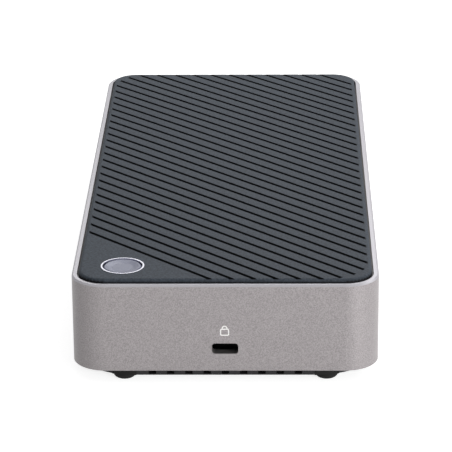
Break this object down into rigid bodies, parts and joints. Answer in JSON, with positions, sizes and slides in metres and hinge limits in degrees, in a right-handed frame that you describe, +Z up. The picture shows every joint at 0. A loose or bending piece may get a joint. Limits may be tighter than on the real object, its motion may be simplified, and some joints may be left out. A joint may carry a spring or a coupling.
{
  "type": "docking station",
  "caption": "Long, low desktop docking station: silver side band, dark deck with diagonal grooves, corner power button, vented base on round feet, ports along the sides and a lock slot.",
  "frame": {"origin": "on the desk surface, under the middle of the body", "axes": "+Z up, +Y from the lock-slot end to the rear end, +X to the right-hand long side"},
  "size_m": [0.082, 0.186, 0.0294],
  "materials": {
    "silver_band": "satin silver-grey paint on moulded plastic",
    "dark_deck": "fine-grained dark grey moulding",
    "dark_base": "fine-grained charcoal moulding",
    "foot_rubber": "soft matt rubber",
    "bright_ring": "bright plated ring",
    "button_grey": "satin light grey",
    "steel": "plain plated sheet",
    "pin_metal": "plated pin",
    "insert_black": "moulded black plastic",
    "circuit_board": "green lacquered board",
    "chip_black": "moulded chip package",
    "capacitor_case": "moulded amber case",
    "coil_core": "pressed ferrite",
    "pad_grey": "soft heat-conducting pad",
    "heat_sink_metal": "extruded, plain",
    "socket_white": "moulded ivory plastic",
    "ribbon_film": "flat flexible film",
    "sign_ink": "white ink of the printed lock sign",
    "contact_gold": "gold flash on spring contacts",
    "light_guide": "milky clear moulding"
  },
  "bodies": {
    "housing": {"audio_socket": "insert_black", "bottom_cover": "dark_base", "button_bezel": "bright_ring", "button_board": "circuit_board", "button_ribbon": "ribbon_film", "card_reader_base": "insert_black", "card_reader_cover": "steel", "cover_screws": "steel", "filter_capacitors": "capacitor_case", "foot_front_left": "foot_rubber", "foot_front_right": "foot_rubber", "foot_rear_left": "foot_rubber", "foot_rear_right": "foot_rubber", "front_usb_c_shell": "steel", "front_usb_c_tongue": "insert_black", "heat_sink": "heat_sink_metal", "host_usb_c_shell": "steel", "host_usb_c_tongue": "insert_black", "hub_chip": "chip_black", "lock_bracket": "steel", "main_board": "circuit_board", "memory_chip": "chip_black", "network_socket_body": "insert_black", "network_socket_shield": "steel", "network_transformer": "chip_black", "power_coils": "coil_core", "power_inlet_body": "insert_black", "power_inlet_pin": "pin_metal", "ribbon_socket_lower": "socket_white", "ribbon_socket_upper": "socket_white", "side_frame": "silver_band", "switch_body": "chip_black", "thermal_pad": "pad_grey", "top_cover": "dark_deck", "usb_a_left_1_shell": "steel", "usb_a_left_1_tongue": "insert_black", "usb_a_left_2_shell": "steel", "usb_a_left_2_tongue": "insert_black", "usb_a_right_1_shell": "steel", "usb_a_right_1_tongue": "insert_black", "usb_a_right_2_shell": "steel", "usb_a_right_2_tongue": "insert_black", "video_chip": "chip_black", "video_socket_1_shell": "steel", "video_socket_1_tongue": "insert_black", "video_socket_2_shell": "steel", "video_socket_2_tongue": "insert_black"},
    "button": {"button_cap": "button_grey", "switch_plunger": "insert_black"}
  },
  "joints": [
    {"name": "button_press", "type": "slide", "parent": "housing", "child": "button", "axis": [0, 0, -1], "range_m": [0, 0.0005], "stiffness_N_per_m": 2000}
  ]
}
